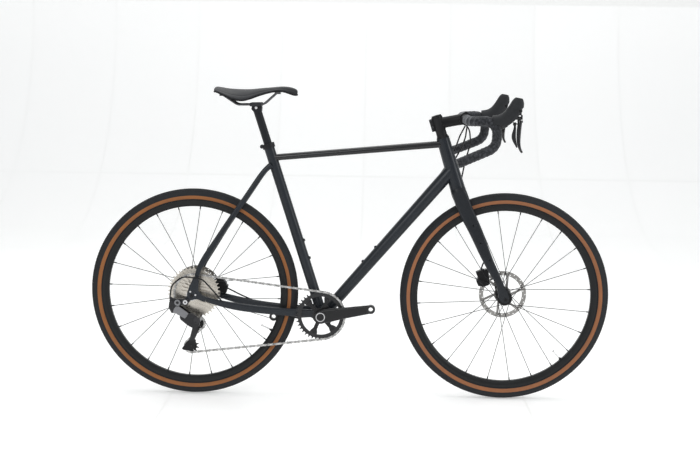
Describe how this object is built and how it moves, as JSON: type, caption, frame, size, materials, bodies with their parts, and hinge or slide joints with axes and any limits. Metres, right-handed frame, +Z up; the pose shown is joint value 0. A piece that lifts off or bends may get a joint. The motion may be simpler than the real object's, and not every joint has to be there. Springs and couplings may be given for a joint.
{
  "type": "gravel road bicycle",
  "caption": "Drop-bar gravel bicycle with disc brakes, a single-ring chain drive, tan-wall tyres and a racing saddle, for riding on roads and gravel.",
  "frame": {"origin": "on the ground at the bottom of the tyres, midway between the two axles, on the middle plane", "axes": "+X forward, +Y to the rider's left, +Z up"},
  "size_m": [1.7418, 0.5256, 1.0411],
  "materials": {
    "frame_paint": "satin",
    "fork_paint": "matt",
    "dropout_paint": "satin",
    "bearing_steel": "satin",
    "black_alloy": "anodised",
    "dark_gloss": "gloss",
    "axle_alloy": "anodised",
    "bolt_steel": "satin",
    "silver_steel": "satin",
    "spoke_steel": "satin",
    "hub_alloy": "satin",
    "tyre": "matt",
    "tape": "matt",
    "hood": "matt",
    "hose": "satin",
    "black_plastic": "satin",
    "saddle_cover": "matt",
    "pad_material": "matt"
  },
  "bodies": {
    "frame": {"head_tube": "frame_paint", "top_tube": "frame_paint", "down_tube": "frame_paint", "seat_tube": "frame_paint", "bottom_bracket_shell": "frame_paint", "frame_bearings": "bearing_steel", "chainstays": "frame_paint", "seatstays": "frame_paint", "dropouts": "dropout_paint", "seat_clamp": "black_alloy", "frame_bolts": "bolt_steel", "rear_thru_axle": "axle_alloy", "rear_caliper": "black_alloy", "rear_brake_hose": "hose", "shift_housing": "hose", "derailleur_linkage": "dark_gloss", "chain": "silver_steel"},
    "steering": {"fork": "fork_paint", "headset_spacers": "black_alloy", "stem": "black_alloy", "stem_faceplate": "black_alloy", "steering_bolts": "bolt_steel", "handlebar": "black_alloy", "bar_tape": "tape", "front_thru_axle": "axle_alloy", "front_caliper": "black_alloy", "front_brake_hose": "hose", "control_hoses": "hose", "lever_brackets": "black_alloy", "brake_hoods": "hood"},
    "front_wheel": {"front_tyre": "tyre", "front_rim": "black_alloy", "front_spokes": "spoke_steel", "front_hub": "black_alloy", "front_rotor": "silver_steel"},
    "rear_wheel": {"rear_tyre": "tyre", "rear_rim": "black_alloy", "rear_spokes": "spoke_steel", "rear_hub": "black_alloy", "rear_rotor": "silver_steel"},
    "cassette": {"cassette": "silver_steel", "freehub_body": "hub_alloy"},
    "crank": {"crank_arm_right": "black_alloy", "crank_arm_left": "black_alloy", "chainring": "black_alloy"},
    "cage": {"derailleur_cage": "dark_gloss"},
    "guide_pulley": {"guide_pulley": "black_plastic"},
    "tension_pulley": {"tension_pulley": "black_plastic"},
    "lever_left": {"brake_lever_left": "dark_gloss"},
    "lever_right_pivot": {"lever_pivot_right": "dark_gloss"},
    "lever_right": {"brake_lever_right": "dark_gloss"},
    "paddle": {"shift_paddle": "black_plastic"},
    "seat": {"seatpost": "black_alloy", "saddle_rails": "silver_steel", "saddle_shell": "black_plastic", "saddle_pad": "saddle_cover"},
    "front_pad_inner": {"front_pad_inner": "pad_material"},
    "front_pad_outer": {"front_pad_outer": "pad_material"},
    "rear_pad_inner": {"rear_pad_inner": "pad_material"},
    "rear_pad_outer": {"rear_pad_outer": "pad_material"}
  },
  "joints": [
    {"name": "steering", "type": "hinge", "parent": "frame", "child": "steering", "pos_m": [0.2984, 0, 0.896], "axis": [-0.304, 0, 0.9527], "range_deg": [-60, 60], "deforming": ["control_hoses"]},
    {"name": "front_wheel_spin", "type": "hinge", "parent": "steering", "child": "front_wheel", "pos_m": [0.521, 0, 0.35], "axis": [0, 1, 0], "continuous": true},
    {"name": "rear_wheel_spin", "type": "hinge", "parent": "frame", "child": "rear_wheel", "pos_m": [-0.521, 0, 0.35], "axis": [0, 1, 0], "continuous": true},
    {"name": "crank_spin", "type": "hinge", "parent": "frame", "child": "crank", "pos_m": [-0.093, 0, 0.283], "axis": [0, 1, 0], "continuous": true, "deforming": ["chain"]},
    {"name": "cassette_spin", "type": "hinge", "parent": "frame", "child": "cassette", "pos_m": [-0.521, 0, 0.35], "axis": [0, 1, 0], "continuous": true},
    {"name": "cage_swing", "type": "hinge", "parent": "frame", "child": "cage", "pos_m": [-0.502, 0, 0.268], "axis": [0, -1, 0], "range_deg": [0, 45], "stiffness_Nm_per_rad": 1, "springref_deg": -20.05},
    {"name": "guide_pulley_spin", "type": "hinge", "parent": "cage", "child": "guide_pulley", "pos_m": [-0.506, -0.0328, 0.247], "axis": [0, 1, 0], "continuous": true},
    {"name": "tension_pulley_spin", "type": "hinge", "parent": "cage", "child": "tension_pulley", "pos_m": [-0.52936, -0.0328, 0.16891], "axis": [0, 1, 0], "continuous": true},
    {"name": "left_lever_pull", "type": "hinge", "parent": "steering", "child": "lever_left", "pos_m": [0.529, 0.211, 0.981], "axis": [0, 1, 0], "range_deg": [0, 14], "stiffness_Nm_per_rad": 1.5, "springref_deg": -11.46},
    {"name": "right_lever_pull", "type": "hinge", "parent": "steering", "child": "lever_right_pivot", "pos_m": [0.529, -0.211, 0.981], "axis": [0, 1, 0], "range_deg": [0, 14], "stiffness_Nm_per_rad": 1.5, "springref_deg": -11.46},
    {"name": "right_lever_swing", "type": "hinge", "parent": "lever_right_pivot", "child": "lever_right", "pos_m": [0.529, -0.211, 0.958], "axis": [1, 0, 0], "range_deg": [0, 10], "stiffness_Nm_per_rad": 1, "springref_deg": -11.46},
    {"name": "shift_paddle_swing", "type": "hinge", "parent": "lever_right", "child": "paddle", "pos_m": [0.515, -0.2135, 0.94], "axis": [1, 0, 0], "range_deg": [0, 12], "stiffness_Nm_per_rad": 0.5, "springref_deg": -11.46},
    {"name": "seatpost_slide", "type": "slide", "parent": "frame", "child": "seat", "axis": [-0.3069, 0, 0.9518], "range_m": [-0.05, 0.05]},
    {"name": "front_pad_inner_slide", "type": "slide", "parent": "steering", "child": "front_pad_inner", "axis": [0, 1, 0], "range_m": [0, 0.00047]},
    {"name": "front_pad_outer_slide", "type": "slide", "parent": "steering", "child": "front_pad_outer", "axis": [0, -1, 0], "range_m": [0, 0.00047]},
    {"name": "rear_pad_inner_slide", "type": "slide", "parent": "frame", "child": "rear_pad_inner", "axis": [0, 1, 0], "range_m": [0, 0.00047]},
    {"name": "rear_pad_outer_slide", "type": "slide", "parent": "frame", "child": "rear_pad_outer", "axis": [0, -1, 0], "range_m": [0, 0.00047]}
  ],
  "couplings": [
    {"joint": "cassette_spin", "follows": "crank_spin", "ratio": 1.25},
    {"joint": "guide_pulley_spin", "follows": "crank_spin", "ratio": -3.6364},
    {"joint": "tension_pulley_spin", "follows": "crank_spin", "ratio": 3.6364},
    {"joint": "front_pad_inner_slide", "follows": "left_lever_pull", "m_per_rad": 0.001842},
    {"joint": "front_pad_outer_slide", "follows": "left_lever_pull", "m_per_rad": 0.001842},
    {"joint": "rear_pad_inner_slide", "follows": "right_lever_pull", "m_per_rad": 0.001842},
    {"joint": "rear_pad_outer_slide", "follows": "right_lever_pull", "m_per_rad": 0.001842}
  ]
}
